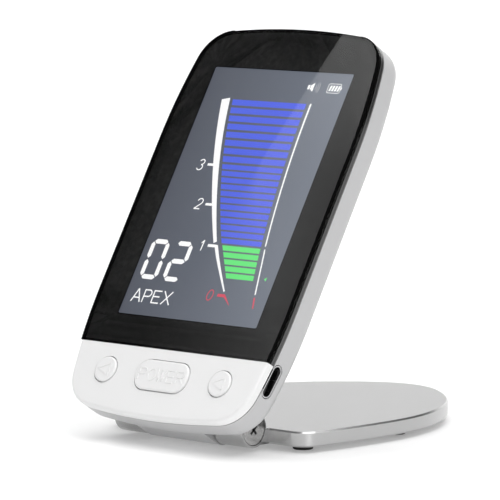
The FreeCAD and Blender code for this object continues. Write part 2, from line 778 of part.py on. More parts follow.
def make_board_pieces():
    for name, *_, at_back in BOARD_PIECES:
        front = board_back if at_back else board_front + " + " + name + "_thickness"
        block(name, name + "_width", name + "_height", front, name + "_thickness",
              name + "_across", name + "_up")


def make_port(name, side, placement):
    """A flat socket with round ends, facing its own +X; its mouth is cut to follow the case's side."""
    shell = new_body(name + "_shell")
    outside = new_sketch(shell, plane="YZ_Plane")
    stadium(outside, "port_width", "port_height")
    pad(outside, "port_length", backwards=True)
    inside = new_sketch(shell, plane="YZ_Plane")
    stadium(inside, "port_width - 2 * port_wall", "port_height - 2 * port_wall")
    pocket(inside, "port_length - port_wall")
    case_side = new_sketch(shell, "head_half_width - side_arc - port_mouth",
                           "%d * (head_middle - side_straight / 2 - port_place)" % side, "port_height")
    circle(case_side, "side_arc - port_recess")
    circle(case_side, "side_arc + port_length")
    pocket(case_side, "2 * port_height")
    tongue = new_body(name + "_tongue")
    section = new_sketch(tongue, out="0 - port_length + port_wall", plane="YZ_Plane")
    rectangle(section, "tongue_width", "tongue_thickness")
    pad(section, "tongue_length")
    shell.Placement = placement
    tongue.Placement = placement


# ---------------------------------------------------------------- power, sound, small fasteners

def make_battery():
    body = new_body("battery_cell")
    pad_front = cavity_floor + " + pad_thickness"
    sketch = new_sketch(body, "battery_across", "battery_up", pad_front)
    rounded_rectangle(sketch, "battery_width", "battery_height", "battery_corner")
    pad(sketch, "battery_thickness")
    block("battery_pad", "pad_width", "pad_height", pad_front, "pad_thickness",
          "battery_across", "battery_up")


def make_loudspeaker():
    body = new_body("loudspeaker")
    ring_front = cavity_floor + " + pad_thickness"
    sketch = new_sketch(body, "speaker_across", "speaker_up", ring_front)
    circle(sketch, "speaker_radius")
    pad(sketch, "speaker_height")
    ring = new_body("speaker_gasket")
    outer = new_sketch(ring, "speaker_across", "speaker_up", ring_front)
    circle(outer, "speaker_radius")
    pad(outer, "pad_thickness", backwards=True)
    inner = new_sketch(ring, "speaker_across", "speaker_up", ring_front)
    circle(inner, "speaker_radius - speaker_ring_width")
    pocket(inner, "pad_thickness")


def make_fasteners():
    inserts = new_body("case_inserts")
    insert_front = "insert_length - case_post_end"
    rods(inserts, CASE_SCREW_ROWS, "insert_radius", insert_front, "insert_length")
    bores(inserts, CASE_SCREW_ROWS, "case_screw_radius + assembly_gap", insert_front, "insert_length")
    screws = new_body("case_screws")
    head_front = "case_screw_head_height + case_screw_sink - head_thickness"
    rods(screws, CASE_SCREW_ROWS, "case_screw_radius", head_front + " + case_screw_length",
         "case_screw_length")
    rods(screws, CASE_SCREW_ROWS, "case_screw_head", head_front, "case_screw_head_height")
    board_screws = new_body("board_screws")
    rods(board_screws, BOARD_SCREW_ROWS, "board_screw_head", board_front + " + board_screw_head_height",
         "board_screw_head_height")
    rods(board_screws, BOARD_SCREW_ROWS, "board_screw_radius", board_front, "board_screw_length")


# ---------------------------------------------------------------- the hinge's hardware

def disc(body, start, radius, length):
    """A stretch of round bar along X."""
    sketch = new_sketch(body, out=start, plane="YZ_Plane")
    circle(sketch, radius)
    pad(sketch, length)


def drilled(body, start, radius, length):
    sketch = new_sketch(body, out=start, plane="YZ_Plane")
    circle(sketch, radius)
    pocket(sketch, length, forwards=True)


def make_hinge_side(side, placement):
    """One end of the hinge, drawn along +X from the middle of the axis."""
    insert = new_body("hinge_insert_" + side)
    insert_start = "boss_half_length - hinge_insert_length"
    disc(insert, insert_start, "hinge_insert_radius", "hinge_insert_length")
    drilled(insert, insert_start, "thread_radius + assembly_gap", "hinge_insert_length")

    washer = new_body("friction_washer_" + side)
    disc(washer, "boss_half_length", "washer_radius", "washer_thickness")
    drilled(washer, "boss_half_length", "pin_radius + pin_clearance", "washer_thickness")

    head_end = "knuckle_end - pin_head_sink"
    pin = new_body("hinge_pin_" + side)
    disc(pin, head_end + " - pin_head_height", "pin_head_radius", "pin_head_height")
    disc(pin, "boss_half_length", "pin_radius", head_end + " - boss_half_length - pin_head_height")
    disc(pin, "boss_half_length - thread_length", "thread_radius", "thread_length")
    for width, height in (("cross_length", "cross_width"), ("cross_width", "cross_length")):
        slot = new_sketch(pin, out=head_end, plane="YZ_Plane")
        slot.setExpression("AttachmentOffset.Rotation.Angle", formula("cross_turn"))
        rectangle(slot, width, height)
        pocket(slot, "cross_depth")

    bush = new_body("hinge_bush_" + side)
    bush_end = head_end + " - pin_head_height - pin_head_gap"
    disc(bush, "knuckle_start", "bush_radius", bush_end + " - knuckle_start")
    drilled(bush, "knuckle_start", "pin_radius + pin_clearance", bush_end + " - knuckle_start")
    for body in (insert, washer, pin, bush):
        body.Placement = placement


# ---------------------------------------------------------------- the stand

def make_plate():
    body = new_body("base_plate")
    plan = new_sketch(body, out="plate_top")
    plate_outline(plan)
    pad(plan, "plate_thickness", backwards=True)
    bottom = size("plate_top - plate_thickness")
    top_edges = flat_at(size("plate_top"))
    bottom_edges = flat_at(bottom)

    def rim(edge):
        behind_the_front = edge.BoundBox.YMax > size("plate_front") + SAME_HEIGHT
        return behind_the_front and (top_edges(edge) or bottom_edges(edge))

    dress("Chamfer", body, rim, "plate_chamfer")
    barrel = new_sketch(body, plane="YZ_Plane")
    circle(barrel, "knuckle_radius")
    pad(barrel, "2 * knuckle_end", both_ways=True)
    web = new_sketch(body, up="plate_front / 2 + plate_chamfer", out="plate_top")
    rectangle(web, "2 * knuckle_end", "plate_front + 2 * plate_chamfer")
    pad(web, "plate_thickness", backwards=True)
    gap = new_sketch(body, up="plate_front / 2 - knuckle_radius / 2", out="knuckle_radius")
    rectangle(gap, "2 * knuckle_start", "plate_front + knuckle_radius")
    pocket(gap, "2 * knuckle_radius")
    bore = new_sketch(body, plane="YZ_Plane")
    circle(bore, "bush_radius + assembly_gap")
    pocket(bore, "3 * knuckle_end", both_ways=True)
    for side in (1, -1):
        recess = new_sketch(body, out="%d * knuckle_end" % side, plane="YZ_Plane")
        circle(recess, "pin_head_radius + pin_head_gap")
        pocket(recess, "pin_head_height + pin_head_sink + pin_head_gap", forwards=side < 0)
    for name, across, back in FEET:
        well = new_sketch(body, across, back, "plate_top - plate_thickness")
        circle(well, "foot_radius + assembly_gap")
        pocket(well, "foot_recess", forwards=True)
    return body


def make_feet():
    feet = []
    for name, across, back in FEET:
        body = new_body(name)
        sketch = new_sketch(body, across, back, "plate_top - plate_thickness + foot_recess")
        circle(sketch, "foot_radius")
        pad(sketch, "foot_height", backwards=True)
        dress("Fillet", body, flat_at(size("plate_top - plate_thickness + foot_recess - foot_height")),
              "foot_edge")
        feet.append(body)
    return feet


# ---------------------------------------------------------------- assembly

axis_height = size("plate_thickness - plate_top + foot_height - foot_recess")
axis_placement = Placement(Vector(0, size("axis_back"), axis_height), Rotation())
tilt = Placement(Vector(), Rotation(Vector(1, 0, 0), size("head_tilt")))
to_axis = Placement(Vector(0, -size("hinge_up"), -size(axis_out)), Rotation())
head_placement = axis_placement * tilt * to_axis
turned_round = Placement(Vector(), Rotation(Vector(0, 0, 1), 180))

make_rear_shell()
make_front_frame()
make_key_panel()
make_cover_glass()
make_glass_adhesive()
make_case_seal()
make_display()
make_display_ribbon()
make_keys()
make_board()
make_board_pieces()
make_battery()
make_loudspeaker()
make_fasteners()
for head_piece in sub_parts:
    head_piece.Placement = head_placement

for port_name, port_side in (("charging_port", 1), ("lead_port", -1)):
    mouth = Vector(port_side * size("port_mouth"), size("port_place"), -size("port_depth"))
    facing = Rotation(Vector(0, 0, 1), 0 if port_side > 0 else 180)
    make_port(port_name, port_side, head_placement * Placement(mouth, facing))

make_hinge_side("right", axis_placement)
make_hinge_side("left", axis_placement * turned_round)

make_plate().Placement = axis_placement
for foot in make_feet():
    foot.Placement = axis_placement

doc.recompute()
for item in doc.Objects:
    if "Invalid" in item.State or "Error" in item.State:
        raise RuntimeError("%s is not computed: %s" % (item.Label, item.State))
for piece in sub_parts:
    if piece.Shape.isNull() or not piece.Shape.isValid():
        raise RuntimeError(piece.Label + " has no valid shape")

os.makedirs("parts", exist_ok=True)
for piece in sub_parts:
    piece.Shape.exportStep("parts/%s.step" % piece.Label)
    box = piece.Shape.BoundBox
    print("%-24s %d solid(s) %9.1f mm3   x %.2f %.2f  y %.2f %.2f  z %.2f %.2f" % (
        piece.Label, len(piece.Shape.Solids), piece.Shape.Volume,
        box.XMin, box.XMax, box.YMin, box.YMax, box.ZMin, box.ZMax))
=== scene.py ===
"""The looks of the apex locator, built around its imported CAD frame.

Flat artwork and mouldings on the head are drawn in the head's own frame, in millimetres: x to the
right, v up the face and w out of the front face, with the origin at the middle of the cover glass's
lower edge.  Everything else is in the frame's own metres.
"""

import json
import math

import bmesh
import bpy
from mathutils import Matrix, Vector


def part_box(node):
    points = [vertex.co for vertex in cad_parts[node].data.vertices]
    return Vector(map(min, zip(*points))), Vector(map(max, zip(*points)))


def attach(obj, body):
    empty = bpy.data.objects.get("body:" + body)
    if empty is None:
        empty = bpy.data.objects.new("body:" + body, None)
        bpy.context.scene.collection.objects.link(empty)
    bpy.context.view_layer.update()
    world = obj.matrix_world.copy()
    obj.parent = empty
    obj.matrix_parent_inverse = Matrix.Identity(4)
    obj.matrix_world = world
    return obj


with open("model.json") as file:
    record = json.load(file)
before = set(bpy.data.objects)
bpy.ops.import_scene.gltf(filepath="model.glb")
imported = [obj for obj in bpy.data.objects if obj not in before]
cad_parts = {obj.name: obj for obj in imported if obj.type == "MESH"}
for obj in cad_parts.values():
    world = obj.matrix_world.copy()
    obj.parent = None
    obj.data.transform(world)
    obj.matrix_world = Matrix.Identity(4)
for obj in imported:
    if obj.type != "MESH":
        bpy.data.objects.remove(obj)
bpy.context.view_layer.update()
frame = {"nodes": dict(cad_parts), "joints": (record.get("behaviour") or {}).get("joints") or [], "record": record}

MM = 0.001
RIGHT = Vector((1, 0, 0))


def joint(name):
    return next(item for item in frame["joints"] if item["name"] == name)


AXIS = Vector(joint("head_tilt")["pos_m"])


# ---------------------------------------------------------------- the head's own frame

OUT = -Vector(joint("power_key_press")["axis"])
UP = OUT.cross(RIGHT)


def reach(node, direction):
    """The lowest and highest place of a CAD node along a direction, in metres."""
    places = [vertex.co.dot(direction) for vertex in frame["nodes"][node].data.vertices]
    return min(places), max(places)


def head_matrix():
    """Takes a point in the head's millimetres to the frame's metres."""
    origin = UP * reach("cover_glass", UP)[0] + OUT * reach("cover_glass", OUT)[1]
    turned = Matrix((RIGHT, UP, OUT)).transposed().to_4x4()
    return Matrix.Translation(origin) @ turned @ Matrix.Scale(MM, 4)


HEAD = head_matrix()


def head_point(x, v, w):
    return HEAD @ Vector((x, v, w))


def head_depth(node, side):
    """How far a node's back (side 0) or front (side 1) lies from the front face, in millimetres."""
    return (reach(node, OUT)[side] - reach("cover_glass", OUT)[1]) / MM


# ---------------------------------------------------------------- materials

class Shader:
    """A node material with one Principled shader and a few helpers for its procedural detail."""

    def __init__(self, name, **sockets):
        self.material = bpy.data.materials.new(name)
        self.material.use_nodes = True
        self.tree = self.material.node_tree
        self.surface = self.tree.nodes["Principled BSDF"]
        for socket, value in sockets.items():
            self.surface.inputs[socket.replace("_", " ")].default_value = value
        self.place = self.node("ShaderNodeTexCoord").outputs["Object"]

    def node(self, kind, **settings):
        made = self.tree.nodes.new(kind)
        for name, value in settings.items():
            setattr(made, name, value)
        return made

    def link(self, source, target):
        self.tree.links.new(source, target)

    def scaled(self, stretch):
        """The place, drawn out or squeezed along each axis."""
        mapping = self.node("ShaderNodeMapping")
        mapping.inputs["Scale"].default_value = stretch
        self.link(self.place, mapping.inputs["Vector"])
        return mapping.outputs["Vector"]

    def noise(self, scale, detail=3.0, rough=0.5, stretch=None):
        made = self.node("ShaderNodeTexNoise")
        made.inputs["Scale"].default_value = scale
        made.inputs["Detail"].default_value = detail
        made.inputs["Roughness"].default_value = rough
        self.link(self.scaled(stretch) if stretch else self.place, made.inputs["Vector"])
        return made.outputs["Fac"]

    def spread(self, value, low, high, start=0.3, end=0.7):
        """Maps a factor onto a range of numbers."""
        made = self.node("ShaderNodeMapRange")
        for name, number in (("From Min", start), ("From Max", end), ("To Min", low), ("To Max", high)):
            made.inputs[name].default_value = number
        self.link(value, made.inputs["Value"])
        return made.outputs["Result"]

    def blend(self, factor, first, second):
        made = self.node("ShaderNodeMix", data_type="RGBA")
        self.link(factor, made.inputs["Factor"])
        for socket, colour in (("A", first), ("B", second)):
            place = next(item for item in made.inputs if item.name == socket and item.type == "RGBA")
            if isinstance(colour, bpy.types.NodeSocket):
                self.link(colour, place)
            else:
                place.default_value = (*colour, 1)
        return next(item for item in made.outputs if item.type == "RGBA")

    def bump(self, height, distance):
        made = self.node("ShaderNodeBump")
        made.inputs["Distance"].default_value = distance
        self.link(height, made.inputs["Height"])
        return made.outputs["Normal"]

    def product(self, first, second):
        made = self.node("ShaderNodeMath", operation="MULTIPLY")
        self.link(first, made.inputs[0])
        self.link(second, made.inputs[1])
        return made.outputs["Value"]

    def dimmed(self, colour, factor):
        made = self.node("ShaderNodeVectorMath", operation="SCALE")
        self.link(colour, made.inputs[0])
        self.link(factor, made.inputs["Scale"])
        return made.outputs["Vector"]

    def height_along(self, direction):
        """How far a place lies along a direction, in metres."""
        made = self.node("ShaderNodeVectorMath", operation="DOT_PRODUCT")
        made.inputs[1].default_value = direction
        self.link(self.place, made.inputs[0])
        return made.outputs["Value"]

    def use(self, **links):
        """Links the outputs to the Principled shader's sockets and gives the material."""
        for socket, source in links.items():
            self.link(source, self.surface.inputs[socket.replace("_", " ")])
        return self.material


def moulded(name, colour, roughness, grain=0.000004, coat=0.0, tint=0.04, grain_scale=6500):
    """Moulded plastic: a fine spark-eroded grain, faint flow marks and slightly uneven gloss."""
    made = Shader(name, Coat_Weight=coat, Coat_Roughness=0.12, IOR=1.5)
    clouds = made.noise(45, 4)
    darker = tuple(part * (1 - tint) for part in colour)
    paint = made.blend(made.spread(clouds, 0, 1), darker, colour)
    handled = made.spread(made.noise(160, 5, 0.6), roughness * 0.88, min(1, roughness * 1.12))
    skin = made.bump(made.noise(grain_scale, 2), grain)
    return made.use(Base_Color=paint, Roughness=handled, Normal=skin)


def black_plastic_with_painted_sheen(name, dark, light, roughness):
    """Black plastic: dull beside the glass, then glossy down to the parting line, with lighter streaks painted
    into its colour there as a painted reflection.
    """
    made = Shader(name, Coat_Roughness=0.08, IOR=1.5)
    middle = (reach("cover_glass", OUT)[1] + reach("case_seal", OUT)[1]) / 2
    depth = made.height_along(OUT)
    lines = made.node("ShaderNodeTexNoise", noise_dimensions="1D")
    lines.inputs["Scale"].default_value = 1700
    lines.inputs["Detail"].default_value = 2
    made.link(depth, lines.inputs["W"])
    gloss = made.spread(depth, 1, 0, middle - 0.1 * MM, middle)
    painted_sheen_streaks = made.spread(lines.outputs["Fac"], 0, 1, 0.38, 0.62)
    # painted reflection: lighter streaks in the colour of the glossy back half stand in for mirrored light
    paint = made.blend(made.product(painted_sheen_streaks, gloss), dark, light)
    return made.use(Base_Color=paint, Coat_Weight=made.spread(gloss, 0, 0.5),
                    Specular_IOR_Level=made.spread(gloss, 0.06, 0.5),
                    Roughness=made.spread(made.noise(200, 4), roughness * 0.8, roughness * 1.3))


def metal(name, colour, roughness, grain_scale, grain, stretch=None):
    """Rolled, pressed or plated metal: a fine grain and an unevenly rubbed gloss."""
    made = Shader(name, Metallic=1.0)
    clouds = made.noise(60, 5, 0.6)
    darker = tuple(part * 0.94 for part in colour)
    paint = made.blend(made.spread(clouds, 0, 1), darker, colour)
    rubbed = made.spread(made.noise(grain_scale * 0.3, 4, 0.6, stretch), roughness * 0.8, roughness * 1.25)
    skin = made.bump(made.noise(grain_scale, 3, 0.6, stretch), grain)
    return made.use(Base_Color=paint, Roughness=rubbed, Normal=skin)


def plate_metal_with_painted_shade(name, top, side, roughness):
    """Anodised metal, its level faces painted darker than its sides and edges: a painted shade."""
    made = Shader(name, Metallic=1.0)
    facing = made.node("ShaderNodeSeparateXYZ")
    made.link(made.node("ShaderNodeTexCoord").outputs["Normal"], facing.inputs["Vector"])
    # painted shade: faces that point up get the darker colour
    top_shade_mask = made.spread(facing.outputs["Z"], 0, 1, 0.75, 0.97)
    tone = made.dimmed(made.blend(top_shade_mask, side, top), made.spread(made.noise(60, 5, 0.6), 0.97, 1.0))
    rubbed = made.spread(made.noise(1500, 4, 0.6), roughness * 0.95, roughness * 1.05)
    skin = made.bump(made.noise(5200, 3, 0.6), 0.0000003)
    return made.use(Base_Color=tone, Roughness=rubbed, Normal=skin)


def turned_metal(name, colour, roughness):
    """A turned face: fine rings about the hinge axis."""
    made = Shader(name, Metallic=1.0)
    centre = made.node("ShaderNodeVectorMath", operation="SUBTRACT")
    centre.inputs[1].default_value = AXIS
    made.link(made.place, centre.inputs[0])
    rings = made.node("ShaderNodeTexWave", wave_type="RINGS", rings_direction="X")
    rings.inputs["Scale"].default_value = 900
    rings.inputs["Distortion"].default_value = 0.6
    made.link(centre.outputs["Vector"], rings.inputs["Vector"])
    paint = made.blend(made.spread(made.noise(900, 4), 0, 1), tuple(part * 0.9 for part in colour), colour)
    rubbed = made.spread(made.noise(2500, 3), roughness * 0.7, roughness * 1.4)
    return made.use(Base_Color=paint, Roughness=rubbed, Normal=made.bump(rings.outputs["Fac"], 0.0000006))


def glass(name):
    """Clear glass, faintly wiped; its back face is bonded to what is behind it and barely mirrors."""
    made = Shader(name, Transmission_Weight=1.0, IOR=1.4, Base_Color=(1, 1, 1, 1))
    wiped = made.spread(made.noise(300, 4, 0.6, (0.4, 1, 1)), 0.0, 0.012)
    front = reach("cover_glass", OUT)[1]
    outer = made.spread(made.height_along(OUT), 0, 1, front - 0.3 * MM, front - 0.2 * MM)
    return made.use(Roughness=wiped, Specular_Tint=made.blend(outer, (0, 0, 0), (1, 1, 1)))


def printed(name, colour, roughness=0.35):
    """Ink on the back of the glass; also used for the painted shade on the glass's edges."""
    made = Shader(name, IOR=1.5, Specular_IOR_Level=0.0)
    dots = made.spread(made.noise(9000, 2), 0, 1)
    paint = made.blend(dots, colour, tuple(part * 1.15 + 0.0005 for part in colour))
    return made.use(Base_Color=paint, Roughness=made.spread(made.noise(700, 3), roughness, roughness + 0.1))


def lit(name, left, right, strength=1.0, climb=(1.0, 1.0)):
    """A lit area of the display: fine upright lines, with a colour that changes across the width.

    climb is how bright the display's foot and top are.
    """
    made = Shader(name, Base_Color=(0.01, 0.01, 0.012, 1), Roughness=0.4, Emission_Strength=strength)
    split = made.node("ShaderNodeSeparateXYZ")
    made.link(made.place, split.inputs["Vector"])
    glow = made.blend(made.spread(split.outputs["X"], 0, 1, start=-0.025, end=0.025), left, right)
    upward = made.spread(split.outputs["Z"], *climb, start=0.03, end=0.098)
    lines = made.node("ShaderNodeTexWave", wave_type="BANDS", bands_direction="X")
    lines.inputs["Scale"].default_value = 1100
    made.link(made.place, lines.inputs["Vector"])
    dimmer = made.product(made.spread(lines.outputs["Fac"], 0.93, 1.0, 0, 1), upward)
    return made.use(Emission_Color=made.dimmed(glow, dimmer))


def rubber(name, colour=(0.012, 0.012, 0.012)):
    """Dull black rubber or foam, a little dusty."""
    made = Shader(name, IOR=1.45)
    dusty = made.spread(made.noise(500, 5, 0.65), 0, 1, 0.45, 0.8)
    paint = made.blend(dusty, colour, tuple(part * 1.8 + 0.006 for part in colour))
    return made.use(Base_Color=paint, Normal=made.bump(made.noise(3500, 3), 0.00002),
                    Roughness=made.spread(made.noise(800, 3), 0.67, 0.83))


def circuit_green(name):
    """Green solder mask over the pattern of the copper."""
    made = Shader(name, IOR=1.5, Coat_Weight=0.3)
    cells = made.node("ShaderNodeTexVoronoi", feature="DISTANCE_TO_EDGE")
    cells.inputs["Scale"].default_value = 420
    made.link(made.place, cells.inputs["Vector"])
    edges = made.spread(cells.outputs["Distance"], 0, 1, 0.02, 0.06)
    paint = made.blend(edges, (0.02, 0.2, 0.09), (0.008, 0.09, 0.04))
    return made.use(Base_Color=paint, Roughness=made.spread(made.noise(400), 0.3, 0.45))


WHITE_PLASTIC = (0.86, 0.86, 0.86)
SHELL_GREY = (0.53, 0.53, 0.535)
SCREEN_LEFT, SCREEN_RIGHT = (0.084, 0.094, 0.120), (0.156, 0.178, 0.221)
# the plate's top colour is darker than its side as painted shade
PLATE_TOP_SHADED, PLATE_SIDE = (0.285, 0.285, 0.285), (0.51, 0.51, 0.51)
FLAT_FACE_WEIGHT = 95


def white_plastic(name):
    return moulded(name, WHITE_PLASTIC, 0.34, 0.0000006, coat=0.1, tint=0.01, grain_scale=2500)


materials = {
    "rear_case": moulded("rear_case", SHELL_GREY, 0.36, 0.0000015, tint=0.02, grain_scale=3500),
    # the lighter grey is a painted reflection, streaked over the frame's glossy side
    "black_frame": black_plastic_with_painted_sheen("black_frame", (0.006, 0.006, 0.006), (0.055, 0.055, 0.056), 0.2),
    "white_panel": white_plastic("white_panel"),
    "white_key": white_plastic("white_key"),
    "cover_glass": glass("cover_glass"),
    "adhesive": rubber("adhesive"),
    # the seal's near-black fills the parting gap: partly the seal's own colour, partly painted shade for the gap
    "seal": rubber("seal", (0.02, 0.02, 0.02)),
    "display_metal": metal("display_metal", (0.6, 0.6, 0.62), 0.32, 2500, 0.000004, (0.05, 1, 1)),
    "display_cell": lit("display_cell", SCREEN_LEFT, SCREEN_RIGHT, climb=(0.95, 1.02)),
    "light_guide": moulded("light_guide", (0.9, 0.92, 0.95), 0.2),
    "flex": moulded("flex", (0.5, 0.24, 0.06), 0.3),
    "circuit_board": circuit_green("circuit_board"),
    "chip": moulded("chip", (0.02, 0.02, 0.021), 0.45),
    "shield": metal("shield", (0.68, 0.68, 0.69), 0.3, 3000, 0.000004),
    "switch": moulded("switch", (0.03, 0.03, 0.03), 0.4),
    "key_stem": moulded("key_stem", (0.7, 0.7, 0.68), 0.4),
    "socket": moulded("socket", (0.8, 0.78, 0.7), 0.45),
    "port_metal": metal("port_metal", (0.55, 0.55, 0.56), 0.22, 3500, 0.000003, (0.1, 1, 1)),
    "port_tongue": moulded("port_tongue", (0.012, 0.012, 0.012), 0.4),
    "battery": metal("battery", (0.6, 0.61, 0.64), 0.35, 600, 0.00002),
    "foam": rubber("foam"),
    "speaker": moulded("speaker", (0.03, 0.03, 0.03), 0.35),
    "brass": metal("brass", (0.78, 0.56, 0.22), 0.25, 3000, 0.000004),
    "screw": metal("screw", (0.28, 0.28, 0.29), 0.3, 3000, 0.000004),
    "hinge_pin": turned_metal("hinge_pin", (0.66, 0.655, 0.65), 0.2),
    "washer": metal("washer", (0.55, 0.55, 0.56), 0.28, 2500, 0.000004),
    "bush": moulded("bush", (0.78, 0.77, 0.72), 0.4),
    "stand_metal": plate_metal_with_painted_shade("stand_metal", PLATE_TOP_SHADED, PLATE_SIDE, 0.25),
    "foot_rubber": rubber("foot_rubber"),
}

for entry in frame["record"]["subparts"]:
    node = frame["nodes"][entry["node"]]
    node.data.materials.clear()
    node.data.materials.append(materials[entry["material_slot"]])
    flat_faces = node.modifiers.new("flat_faces", "WEIGHTED_NORMAL")
    flat_faces.weight = FLAT_FACE_WEIGHT
    flat_faces.keep_sharp = True


# ---------------------------------------------------------------- building flat artwork and pieces

ARTWORK_THICKNESS = 0.02


def piece(name, mesh, material, body):
    """Shows a mesh as a piece of the object that moves with a body."""
    mesh.materials.append(material)
    made = bpy.data.objects.new(name, mesh)
    bpy.context.scene.collection.objects.link(made)
    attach(made, body)


def prism(mesh, outline, front, depth, hole=None):
    """Adds a plate with the outline's points, from the front height back by the depth."""
    def ring(points, height):
        return [mesh.verts.new((x, v, height)) for x, v in points]

    def walls(top, bottom):
        for i in range(len(top)):
            j = (i + 1) % len(top)
            mesh.faces.new((top[i], bottom[i], bottom[j], top[j]))

    top = ring(outline, front)
    bottom = ring(outline, front - depth)
    walls(top, bottom)
    if hole is None:
        mesh.faces.new(top)
        mesh.faces.new(list(reversed(bottom)))
        return
    inner_top = ring(hole, front)
    inner_bottom = ring(hole, front - depth)
    walls(inner_bottom, inner_top)
    for outer, inner in ((top, inner_top), (bottom, inner_bottom)):
        edges = [mesh.edges.get((loop[i], loop[(i + 1) % len(loop)])) for loop in (outer, inner)
                 for i in range(len(loop))]
        bmesh.ops.triangle_fill(mesh, use_beauty=True, edges=edges)


def finished(mesh, name):
    """Turns drawn millimetres into a mesh in the frame's place."""
    bmesh.ops.recalc_face_normals(mesh, faces=mesh.faces)
    data = bpy.data.meshes.new(name)
    mesh.to_mesh(data)
    mesh.free()
    data.transform(HEAD)
    return data


def rounded(half_width, half_height, radius, centre=(0, 0), steps=8):
    """A rectangle with round corners, anticlockwise from the right."""
    points = []
    for quarter in range(4):
        cx = centre[0] + (half_width - radius) * (1 if quarter in (0, 3) else -1)
        cy = centre[1] + (half_height - radius) * (1 if quarter < 2 else -1)
        for step in range(steps + 1):
            angle = (quarter + step / steps) * math.pi / 2
            points.append((cx + radius * math.cos(angle), cy + radius * math.sin(angle)))
    return points


def stroke(points, widths):
    """The outline of a line drawn through points; one width, or one for each point."""
    if not hasattr(widths, "__len__"):
        widths = [widths] * len(points)
    left, right = [], []
    for i, (x, y) in enumerate(points):
        ax, ay = points[max(i - 1, 0)]
        bx, by = points[min(i + 1, len(points) - 1)]
        length = math.hypot(bx - ax, by - ay)
        nx, ny = -(by - ay) / length * widths[i] / 2, (bx - ax) / length * widths[i] / 2
        left.append((x + nx, y + ny))
        right.append((x - nx, y - ny))
    return left + right[::-1]


def ellipse(centre, radii, steps=24, start=0.0, turn=2 * math.pi, lean=0.0):
    """Points round an ellipse; lean slants them as italic type is slanted."""
    points = []
    for i in range(steps + 1):
        angle = start + turn * i / steps
        x, y = radii[0] * math.cos(angle), radii[1] * math.sin(angle)
        points.append((centre[0] + x + lean * y, centre[1] + y))
    return points


def slanted(points, origin, lean):
    """Points slanted as italic type is, about a height."""
    return [(x + lean * (y - origin), y) for x, y in points]


def artwork(name, shapes, material, front):
    """Thin flat shapes lying on the display."""
    mesh = bmesh.new()
    for shape in shapes:
        prism(mesh, shape, front, ARTWORK_THICKNESS)
    piece(name, finished(mesh, name), material, "head")


# ---------------------------------------------------------------- the display's picture

# The funnel: a thick curved edge on the left, bars between, and a thin edge on the right.
TOP_OF_SCALE = 74.0
ONE_MARK = 31.9
LEFT_EDGE = (-0.7, -0.55, 0.00401)
BAR_LEFT = (1.6, -0.563, 0.00444)
RIGHT_EDGE = (17.0, -0.163, 0.00195)
BAR_GAP_RIGHT = 1.5
FINE_PITCH = 1.94
GREEN_TOP = 31.3
SEGMENT_GAP = 0.19
ICON_HEIGHT = 78.9


def along(curve, v):
    """A parabola's place across the screen at height v, counted from the 1 mark."""
    rise = v - ONE_MARK
    return curve[0] + curve[1] * rise + curve[2] * rise * rise


def run(curve, low, high, steps=20):
    """Points along a curve between two heights."""
    heights = [low + (high - low) * i / steps for i in range(steps + 1)]
    return [(along(curve, v), v) for v in heights]


def bar(low, high, left):
    """One bar of the scale, with its ends cut along the funnel's edges."""
    return [(left(low), low), (along(RIGHT_EDGE, low) - BAR_GAP_RIGHT, low),
            (along(RIGHT_EDGE, high) - BAR_GAP_RIGHT, high), (left(high), high)]


def blue_bars():
    """Twenty bars down to the 1 mark: eight tall ones, then twelve shorter ones."""
    bars = []
    top = TOP_OF_SCALE - 0.1
    for i in range(20):
        height, pitch = (1.72, 2.41) if i < 8 else (1.42, FINE_PITCH)
        bars.append(bar(top - height, top, lambda v: along(BAR_LEFT, v)))
        top -= pitch
    return bars


def green_bars():
    """Five bars below the 1 mark, with their left ends on a straight line."""
    tops = [GREEN_TOP - FINE_PITCH * i for i in range(5)]
    return [bar(top - 1.46, top, lambda v: 2.15 - 0.62 * (v - GREEN_TOP)) for top in tops]


def seven_segment(centre, half_width, half_height, thick, lit_segments):
    """One digit: segments a to g clockwise from the top, with the bar in the middle last."""
    x, v = centre
    a, b, t = half_width - thick / 2, half_height - thick / 2, thick / 2
    ends = {
        "a": ((x - a, v + b), (x + a, v + b)), "b": ((x + a, v + b), (x + a, v)),
        "c": ((x + a, v), (x + a, v - b)), "d": ((x - a, v - b), (x + a, v - b)),
        "e": ((x - a, v), (x - a, v - b)), "f": ((x - a, v + b), (x - a, v)), "g": ((x - a, v), (x + a, v)),
    }
    shapes = []
    for letter in lit_segments:
        (ax, ay), (bx, by) = ends[letter]
        length = math.hypot(bx - ax, by - ay)
        ux, uy = (bx - ax) / length, (by - ay) / length
        nx, ny = -uy * t, ux * t
        ax, ay = ax + ux * SEGMENT_GAP, ay + uy * SEGMENT_GAP
        bx, by = bx - ux * SEGMENT_GAP, by - uy * SEGMENT_GAP
        shapes.append([(ax, ay), (ax + ux * t + nx, ay + uy * t + ny), (bx - ux * t + nx, by - uy * t + ny),
                       (bx, by), (bx - ux * t - nx, by - uy * t - ny), (ax + ux * t - nx, ay + uy * t - ny)])
    return shapes


def figure_three(centre, height, thick, lean):
    x, v = centre
    r = height / 4
    upper = ellipse((x, v + r * 0.95), (r * 1.05, r * 0.95), 14, math.radians(160), math.radians(-250))
    lower = ellipse((x, v - r), (r * 1.15, r), 14, math.radians(90), math.radians(-250))
    return [stroke(slanted(upper, v, lean), thick), stroke(slanted(lower, v, lean), thick)]


def figure_two(centre, height, thick, lean):
    x, v = centre
    r = height / 3.6
    low = v - height / 2
    bow = ellipse((x, v + height / 2 - r), (r * 1.05, r), 14, math.radians(165), math.radians(-205))
    body = bow + [(x - r * 1.1, low + thick / 2)]
    foot = [(x - r * 1.2, low + thick / 2), (x + r * 1.15, low + thick / 2)]
    return [stroke(slanted(body, v, lean), thick), stroke(slanted(foot, v, lean), thick)]


